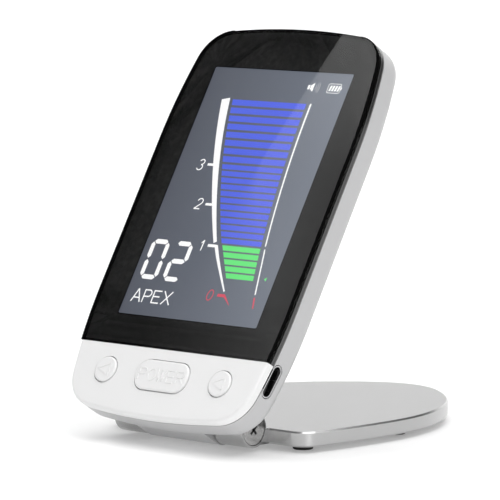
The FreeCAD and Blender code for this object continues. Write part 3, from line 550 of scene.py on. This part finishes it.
def figure_one(centre, height, thick, lean):
    x, v = centre
    stem = [(x, v - height / 2), (x, v + height / 2)]
    flag = [(x, v + height / 2 - thick / 3), (x - height * 0.22, v + height * 0.2)]
    return [stroke(slanted(stem, v, lean), thick), stroke(slanted(flag, v, lean), thick)]


def letters_apex(left, low, height, thick):
    """The word APEX, the name of the measured point, in plain thin capitals."""
    bowl = ellipse((5.5, 2.75), (0.95, 0.95), 10, math.pi / 2, -math.pi)
    inside = thick / 2
    lines = [
        [(0, 0), (1.5, height)], [(1.5, height), (3.1, 0)], [(0.55, 1.25), (2.55, 1.25)],
        [(3.95, 0), (3.95, height)], [(3.95, height - 0.2)] + bowl + [(3.95, 1.8)],
        [(7.3, 0), (7.3, height)], [(7.3, height - inside), (9.9, height - inside)],
        [(7.3, 2.0), (9.6, 2.0)], [(7.3, inside), (9.9, inside)],
        [(10.8, 0), (13.8, height)], [(10.8, height), (13.8, 0)],
    ]
    return [stroke([(left + x, low + v) for x, v in line], thick) for line in lines]


def speaker_icon(x, v):
    """The body and cone of a loudspeaker, and the waves in front of it."""
    shapes = [rounded(0.38, 0.65, 0.1, (x - 0.95, v), 2),
              [(x - 0.35, v - 0.55), (x + 0.75, v - 1.35), (x + 0.75, v + 1.35), (x - 0.35, v + 0.55)]]
    return shapes, [stroke(ellipse((x + 0.6, v), (r, r), 8, -0.75, 1.5), 0.2) for r in (1.0, 1.6, 2.2)]


def battery_icon(x, v):
    """A battery's rounded outline with four slanting bars and a cap."""
    outline = rounded(2.2, 1.35, 0.5, (x, v), 4)
    shapes = [stroke([outline[i - 1], outline[i]], 0.15) for i in range(len(outline))
              if math.dist(outline[i - 1], outline[i]) < 2.5 or abs(outline[i][1] - v) > 1]
    shapes += [[(x - 1.75 + 0.95 * i, v - 0.82), (x - 1.12 + 0.95 * i, v - 0.82),
                (x - 0.8 + 0.95 * i, v + 0.82), (x - 1.43 + 0.95 * i, v + 0.82)] for i in range(4)]
    shapes.append(rounded(0.14, 0.42, 0.08, (x + 2.45, v), 2))
    return shapes


def make_picture():
    """Everything that the display shows."""
    ink = head_depth("display_cell", 1) + 0.04
    white = lit("display_white", (1.0, 1.0, 1.0), (1.0, 1.0, 1.0), 1.05)
    grey = lit("display_grey", (0.45, 0.46, 0.5), (0.45, 0.46, 0.5))
    blue = lit("display_blue", (0.07, 0.13, 0.78), (0.10, 0.14, 0.85))
    green = lit("display_green", (0.13, 0.82, 0.2), (0.13, 0.82, 0.2))
    red = lit("display_red", (0.68, 0.07, 0.115), (0.68, 0.07, 0.115))
    heavy = run(LEFT_EDGE, ONE_MARK, TOP_OF_SCALE)
    widths = [1.05 + 1.8 * i / (len(heavy) - 1) for i in range(len(heavy))]
    light = run(RIGHT_EDGE, ONE_MARK + 0.2, TOP_OF_SCALE)
    lower_left = [(0.1, 31.0), (1.9, 28.1), (4.4, 24.5), (6.8, 21.2), (8.95, 18.3)]
    lower_right = [(17.15, 31.2), (17.45, 30.0), (18.45, 25.0), (19.45, 20.0), (19.8, 18.3)]
    lines = [
        stroke(heavy, widths),
        stroke(light, [0.42 + 0.16 * i / (len(light) - 1) for i in range(len(light))]),
        stroke(lower_left, [1.05, 0.95, 0.75, 0.6, 0.42]),
        stroke(lower_right, 0.42),
        rounded(1.15, 0.36, 0.12, (-12.9, 54.2), 3),
        rounded(1.2, 0.36, 0.12, (-8.1, 42.6), 3),
        rounded(1.6, 0.40, 0.12, (-1.25, 30.85), 3),
    ]
    artwork("display_scale_lines", lines, white, ink)
    artwork("display_blue_bars", blue_bars(), blue, ink)
    artwork("display_green_bars", green_bars(), green, ink)
    lean = 0.18
    figures = (figure_three((-16.35, 54.0), 3.2, 0.34, lean) + figure_two((-11.6, 42.5), 3.2, 0.34, lean)
               + figure_one((-4.65, 30.7), 3.1, 0.34, 0.06))
    artwork("display_scale_figures", figures, white, ink)
    digits = seven_segment((-19.4, 25.4), 3.25, 5.9, 1.35, "abcdef")
    digits += seven_segment((-11.0, 25.4), 3.25, 5.9, 1.35, "abged")
    artwork("display_reading", digits, white, ink)
    artwork("display_word", letters_apex(-22.15, 12.75, 3.85, 0.37), white, ink)
    speaker, waves = speaker_icon(11.6, ICON_HEIGHT)
    artwork("display_speaker_icon", speaker, white, ink)
    artwork("display_speaker_waves", waves, grey, ink)
    artwork("display_battery_icon", battery_icon(19.5, ICON_HEIGHT), white, ink)
    zero = ellipse((4.6, 16.9), (0.95, 1.5), 28, 0, 2 * math.pi, 0.08)
    reds = [stroke([zero[i], zero[i + 1]], 0.28) for i in range(len(zero) - 1)]
    reds += [
        rounded(1.3, 0.42, 0.15, (8.4, 17.1), 3),
        stroke([(9.4, 17.2), (10.6, 16.2), (12.3, 14.6)], [0.75, 0.5, 0.12]),
        stroke([(19.95, 17.5), (20.75, 14.4)], [0.5, 0.42]),
    ]
    artwork("display_apex_marks", reds, red, ink)
    artwork("display_pointer", [[(20.75, 22.9), (21.6, 23.45), (21.5, 22.35)]], green, ink)


make_picture()


# ---------------------------------------------------------------- the glass's print and the painted shade on its edges

VIEW_HALF = (24.65, 37.15)
VIEW_MIDDLE = 46.14
EDGE_WIDTH = 0.8
EDGE_DEPTH = 0.9


def glass_outline(inset):
    """The cover glass's edge in the head's frame, worked out from its own mesh, moved inwards."""
    to_head = HEAD.inverted()
    seen = [to_head @ vertex.co for vertex in frame["nodes"]["cover_glass"].data.vertices]
    back = min(point.z for point in seen)
    rim = {(round(point.x, 3), round(point.y, 3)) for point in seen if point.z < back + 0.01}
    middle = Vector((0, sum(point[1] for point in rim) / len(rim)))
    ordered = sorted(rim, key=lambda point: math.atan2(point[1] - middle.y, point[0]))
    outline = []
    for i, (x, v) in enumerate(ordered):
        before, after = ordered[i - 1], ordered[(i + 1) % len(ordered)]
        normal = Vector((after[1] - before[1], before[0] - after[0])).normalized()
        moved = (x - normal.x * inset, v - normal.y * inset)
        if not outline or math.dist(outline[-1], moved) >= 0.05:
            outline.append(moved)
    return outline


def make_border_print():
    """The black border printed on the back of the glass, with its window for the display."""
    mesh = bmesh.new()
    back = head_depth("cover_glass", 0)
    prism(mesh, glass_outline(0.05), back - 0.01, 0.03, rounded(*VIEW_HALF, 0.4, (0, VIEW_MIDDLE), 4))
    ink = printed("border_ink", (0.001, 0.001, 0.0011))
    piece("glass_border_print", finished(mesh, "glass_border_print"), ink, "head")


def make_glass_edge_shades():
    """Matt black bands over the cover glass's long edges, which run out round its top corners: a painted shade for
    the dark line along the glass's edge.
    """
    # painted shade: near-black matt bands laid over the glass's edges
    black = printed("glass_edge_shade", (0.003, 0.003, 0.003), 0.7)
    rim = glass_outline(0.03)
    widest = max(x for x, v in rim)
    for side, where in ((-1, "left"), (1, "right")):
        outer = sorted(((x, v) for x, v in rim if x * side > widest * 0.62), key=lambda point: point[1])
        inner = [(x * (1 - EDGE_WIDTH / widest), v) for x, v in reversed(outer)]
        mesh = bmesh.new()
        prism(mesh, outer + inner, 0.02, EDGE_DEPTH)
        piece("glass_edge_shade_" + where, finished(mesh, "glass_edge_shade_" + where), black, "head")


make_border_print()
make_glass_edge_shades()


# ---------------------------------------------------------------- raised marks on the keys

LETTER_WIDTH = 2.5
LETTER_HEIGHT = 3.3
LETTER_PITCH = 3.35
MARK_WIDTH = 0.36
MARK_HEIGHT = 0.13


def key_middle(key):
    """The middle of a key's face, in the head's millimetres."""
    seen = [HEAD.inverted() @ vertex.co for vertex in frame["nodes"][key].data.vertices]
    front = max(point.z for point in seen)
    xs, vs = [point.x for point in seen], [point.y for point in seen]
    return (min(xs) + max(xs)) / 2, (min(vs) + max(vs)) / 2, front


def power_letters(x, v):
    """The word POWER, centred on a point, as strokes."""
    a, b = LETTER_WIDTH / 2, LETTER_HEIGHT / 2
    bowl = ellipse((a - b / 2, b / 2), (b / 2, b / 2), 8, math.pi / 2, -math.pi)
    letters = [
        [[(-a, -b), (-a, b)], [(-a, b)] + bowl + [(-a, 0)]],
        [ellipse((0, 0), (a, b), 20, 0, 2 * math.pi)],
        [[(-a - 0.25, b), (-a / 2 - 0.1, -b), (0, b), (a / 2 + 0.1, -b), (a + 0.25, b)]],
        [[(-a, -b), (-a, b)], [(-a, b), (a, b)], [(-a, 0), (a * 0.8, 0)], [(-a, -b), (a, -b)]],
        [[(-a, -b), (-a, b)], [(-a, b)] + bowl + [(-a, 0)], [(0, 0), (a, -b)]],
    ]
    lines = []
    for i, letter in enumerate(letters):
        left = x + (i - 2) * LETTER_PITCH
        for line in letter:
            for start, end in zip(line, line[1:]):
                lines.append([(left + start[0], v + start[1]), (left + end[0], v + end[1])])
    return lines


def arrow_lines(x, v):
    """A plain triangle pointing to the left."""
    tip, high, low = (x - 2.3, v), (x + 1.6, v + 1.7), (x + 1.6, v - 1.7)
    return [[tip, high], [high, low], [low, tip]]


def raised_marks(key, lines_at):
    """Thin ridges moulded on a key's face, drawn about its middle."""
    x, v, front = key_middle(key)
    mesh = bmesh.new()
    for line in lines_at(x, v):
        prism(mesh, stroke(line, MARK_WIDTH), front + MARK_HEIGHT, MARK_HEIGHT + 0.05)
    data = finished(mesh, key + "_marks")
    piece(key + "_marks", data, materials["white_key"], key)


raised_marks("power_key", power_letters)
raised_marks("left_key", arrow_lines)
raised_marks("right_key", arrow_lines)


# ---------------------------------------------------------------- painted shade in the pins' screw recesses

RECESS_HALF_LENGTH = 1.46 * MM
RECESS_HALF_WIDTH = 0.34 * MM
RECESS_TURN = 40
RECESS_SUNK = 0.15 * MM
RECESS_DEPTH = 0.6 * MM
BAR_OUTLINE = ((1, -0.55), (1, 0.55), (0.8, 1), (-0.8, 1), (-1, 0.55), (-1, -0.55), (-0.8, -1), (0.8, -1))


def make_pin_recess_shades():
    """A black cross-shaped plug in each hinge pin's screw recess, which takes the screwdriver: a painted shade for
    the recess.
    """
    for side, node in ((1, "hinge_pin_right"), (-1, "hinge_pin_left")):
        low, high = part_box(node)
        face = high[0] if side > 0 else low[0]
        mesh = bmesh.new()
        for turn in (RECESS_TURN, RECESS_TURN + 90):
            angle = math.radians(turn * side)
            length = Vector((0, math.cos(angle), math.sin(angle)))
            wide = Vector((0, -math.sin(angle), math.cos(angle)))
            centre = Vector((face - side * RECESS_SUNK, AXIS.y, AXIS.z))
            rim = [centre + length * (a * RECESS_HALF_LENGTH) + wide * (b * RECESS_HALF_WIDTH)
                   for a, b in BAR_OUTLINE]
            front = [mesh.verts.new(point) for point in rim]
            back = [mesh.verts.new(point - RIGHT * (side * RECESS_DEPTH)) for point in rim]
            mesh.faces.new(front)
            mesh.faces.new(back[::-1])
            for i in range(len(rim)):
                j = (i + 1) % len(rim)
                mesh.faces.new((front[i], back[i], back[j], front[j]))
        bmesh.ops.recalc_face_normals(mesh, faces=mesh.faces)
        data = bpy.data.meshes.new(node + "_recess_shade")
        mesh.to_mesh(data)
        mesh.free()
        # painted shade: the plug is black plastic filling the shadowed recess
        piece(node + "_recess_shade", data, materials["port_tongue"], "head")


make_pin_recess_shades()


# ---------------------------------------------------------------- camera, floor and lights

TURN = math.radians(42.15)
RISE = math.radians(6.27)
STAND_OFF = 1.0
CAMERA_ASIDE = (0.02019, 0.02614)
LENS = 276.4
SKY_LEVEL = 0.17
SUN_STRENGTH = 2.9
SUN_ANGLE = math.radians(80)
FILL_POWER = 7
FLOOR_HALF = 6
BACKDROP_AWAY = 2.5
BACKDROP_HALF = 3.2
BACKDROP_HEIGHT = 1.1


def make_camera():
    """The camera, set by its turn and rise about the head and by where the head sits in view."""
    back = Vector((math.sin(TURN) * math.cos(RISE), -math.cos(TURN) * math.cos(RISE), math.sin(RISE)))
    across = Vector((math.cos(TURN), math.sin(TURN), 0))
    above = back.cross(across)
    data = bpy.data.cameras.new("camera")
    data.lens = LENS
    data.sensor_width = 36
    data.clip_start = 0.05
    data.clip_end = 60
    camera = bpy.data.objects.new("camera", data)
    bpy.context.scene.collection.objects.link(camera)
    origin = head_point(0, 0, 0)
    camera.location = origin + back * STAND_OFF + across * CAMERA_ASIDE[0] + above * CAMERA_ASIDE[1]
    camera.rotation_mode = "QUATERNION"
    camera.rotation_quaternion = (-back).to_track_quat("-Z", "Y")
    bpy.context.scene.camera = camera
    return camera


def softbox(name, place, turned, size, power):
    """A rectangular lamp at a place, turned by a rotation matrix."""
    data = bpy.data.lights.new(name, "AREA")
    data.shape = "RECTANGLE"
    data.size, data.size_y = size
    data.energy = power
    light = bpy.data.objects.new(name, data)
    light.matrix_world = Matrix.Translation(place) @ turned.to_4x4()
    bpy.context.scene.collection.objects.link(light)
    return data


def make_right_fill():
    """A soft fill from the front right, for the metal's side and the case's right wall."""
    place, target = Vector((1.4, -0.5, 0.5)), Vector((0, 0, 0.05))
    turned = (target - place).to_track_quat("-Z", "Y").to_matrix()
    softbox("right_fill", place, turned, (0.8, 0.8), FILL_POWER)


def studio_object(name, mesh, material):
    """A mesh that belongs to the studio and not to the object."""
    data = bpy.data.meshes.new(name)
    mesh.to_mesh(data)
    mesh.free()
    data.materials.append(material)
    made = bpy.data.objects.new(name, data)
    bpy.context.scene.collection.objects.link(made)
    return made


def make_floor():
    """A pale light table: it glows a little, so that shadows on it stay faint."""
    paper = Shader("floor_paper", Specular_IOR_Level=0.3, Emission_Color=(1, 1, 1, 1))
    tone = paper.blend(paper.spread(paper.noise(3, 2), 0, 1), (0.755, 0.755, 0.755), (0.765, 0.765, 0.765))
    material = paper.use(Base_Color=tone, Roughness=paper.spread(paper.noise(40), 0.45, 0.6),
                         Emission_Strength=paper.spread(paper.noise(2), 0.235, 0.245))
    mesh = bmesh.new()
    bmesh.ops.create_grid(mesh, x_segments=2, y_segments=2, size=FLOOR_HALF)
    floor = studio_object("floor", mesh, material)


def make_backdrop():
    """A bright wall behind the object, square to the view, that the polished metal mirrors."""
    toward = Vector((-math.sin(TURN), math.cos(TURN), 0))
    across = Vector((math.cos(TURN), math.sin(TURN), 0))
    mesh = bmesh.new()
    sides = (-BACKDROP_HALF, BACKDROP_HALF)
    low = [mesh.verts.new(toward * BACKDROP_AWAY + across * side) for side in sides]
    high = [mesh.verts.new(vertex.co + Vector((0, 0, BACKDROP_HEIGHT))) for vertex in reversed(low)]
    mesh.faces.new(low + high)
    cloth = Shader("backdrop_cloth", Base_Color=(0.9, 0.9, 0.9, 1), Emission_Color=(1, 1, 1, 1))
    material = cloth.use(Emission_Strength=cloth.spread(cloth.noise(30, 3), 0.52, 0.56),
                         Roughness=cloth.spread(cloth.noise(80), 0.6, 0.7))
    backdrop = studio_object("backdrop", mesh, material)


def make_sun():
    """A very wide soft light straight above, for a white floor and faint shadows."""
    data = bpy.data.lights.new("sky_panel", "SUN")
    data.energy = SUN_STRENGTH
    data.angle = SUN_ANGLE
    light = bpy.data.objects.new("sky_panel", data)
    light.location = (0, 0, 2)
    bpy.context.scene.collection.objects.link(light)


def make_world():
    """An even dim grey all round."""
    world = bpy.data.worlds.new("studio")
    world.use_nodes = True
    world.node_tree.nodes["Background"].inputs["Color"].default_value = (SKY_LEVEL, SKY_LEVEL, SKY_LEVEL, 1)
    bpy.context.scene.world = world


def mirrored_in_glass(camera):
    """Where the camera would be seen in the glass: a lamp on the line from there shows in the glass."""
    origin = head_point(0, 0, 0)
    return camera.location - OUT * 2 * OUT.dot(camera.location - origin)


# The softbox's edge crosses the glass from the first of these points (x, v) to the second.
WINDOW_EDGE = ((15.9, 95.55), (1.82, 46.6))
WINDOW_SIZE = (0.55, 0.9)
WINDOW_AWAY = 2.2
WINDOW_ABOVE = 0.12
WINDOW_POWER = 2.6
CARD_AWAY = 3.4
CARD_HALF = 0.9
GLASS_MIDDLE = 60


def make_window_light(camera):
    """A tall softbox to the front left, whose straight edge crosses the glass as a diagonal."""
    eye = mirrored_in_glass(camera)
    high, low = (eye + (head_point(x, v, 0) - eye).normalized() * WINDOW_AWAY for x, v in WINDOW_EDGE)
    edge = (high - low).normalized()
    toward = (head_point(0, GLASS_MIDDLE, 0) - eye).normalized()
    aside = edge.cross(toward).normalized()
    width, height = WINDOW_SIZE
    centre = (high + low) / 2 + aside * width / 2 - edge * WINDOW_ABOVE
    turned = Matrix((aside, toward.cross(aside), toward)).transposed()
    data = softbox("window_light", centre, turned, WINDOW_SIZE, WINDOW_POWER)
    veil_window(data, (high - low).length / height)


def veil_window(data, span):
    """Softens the softbox's edge and dims its light towards its lower end, as a net curtain does."""
    data.use_nodes = True
    tree = data.node_tree
    top = 0.5 + WINDOW_ABOVE / WINDOW_SIZE[1] + span / 2

    def ramp(source, start, end, low, high):
        made = tree.nodes.new("ShaderNodeMapRange")
        made.interpolation_type = "SMOOTHSTEP"
        for name, number in (("From Min", start), ("From Max", end), ("To Min", low), ("To Max", high)):
            made.inputs[name].default_value = number
        tree.links.new(source, made.inputs["Value"])
        return made.outputs["Result"]

    def combined(operation, first, second):
        made = tree.nodes.new("ShaderNodeMath")
        made.operation = operation
        made.use_clamp = True
        tree.links.new(first, made.inputs[0])
        tree.links.new(second, made.inputs[1])
        return made.outputs["Value"]

    split = tree.nodes.new("ShaderNodeSeparateXYZ")
    tree.links.new(tree.nodes.new("ShaderNodeNewGeometry").outputs["Parametric"], split.inputs["Vector"])
    softness = ramp(split.outputs["Y"], top - 1.9 * span, top - 0.75 * span, 0.15, 0.001)
    fade_in = combined("DIVIDE", split.outputs["X"], softness)
    dimmer = ramp(split.outputs["Y"], top - 0.8 * span, top - 0.05 * span, 0.5, 1.0)
    tree.links.new(combined("MULTIPLY", fade_in, dimmer), tree.nodes["Emission"].inputs["Strength"])


def make_black_card(camera):
    """A dark card behind the softbox, so that the black glass mirrors nothing bright beside it."""
    eye = mirrored_in_glass(camera)
    toward = (head_point(0, GLASS_MIDDLE, 0) - eye).normalized()
    across = toward.cross(Vector((0, 0, 1))).normalized()
    above = across.cross(toward)
    centre = eye + toward * CARD_AWAY
    felt = Shader("black_felt", Base_Color=(0.02, 0.02, 0.02, 1), Emission_Color=(1, 1, 1, 1))
    material = felt.use(Emission_Strength=felt.spread(felt.noise(5), 0.015, 0.025),
                        Roughness=felt.spread(felt.noise(80), 0.8, 0.9))
    square = ((-1, -1), (1, -1), (1, 1), (-1, 1))
    corners = [centre + across * a * CARD_HALF + above * b * CARD_HALF for a, b in square]
    mesh = bmesh.new()
    mesh.faces.new([mesh.verts.new(corner) for corner in corners])
    card = studio_object("black_card", mesh, material)


make_floor()
make_backdrop()
make_world()
make_sun()
studio_camera = make_camera()
make_window_light(studio_camera)
make_black_card(studio_camera)
make_right_fill()
bpy.context.scene.view_settings.view_transform = "Standard"
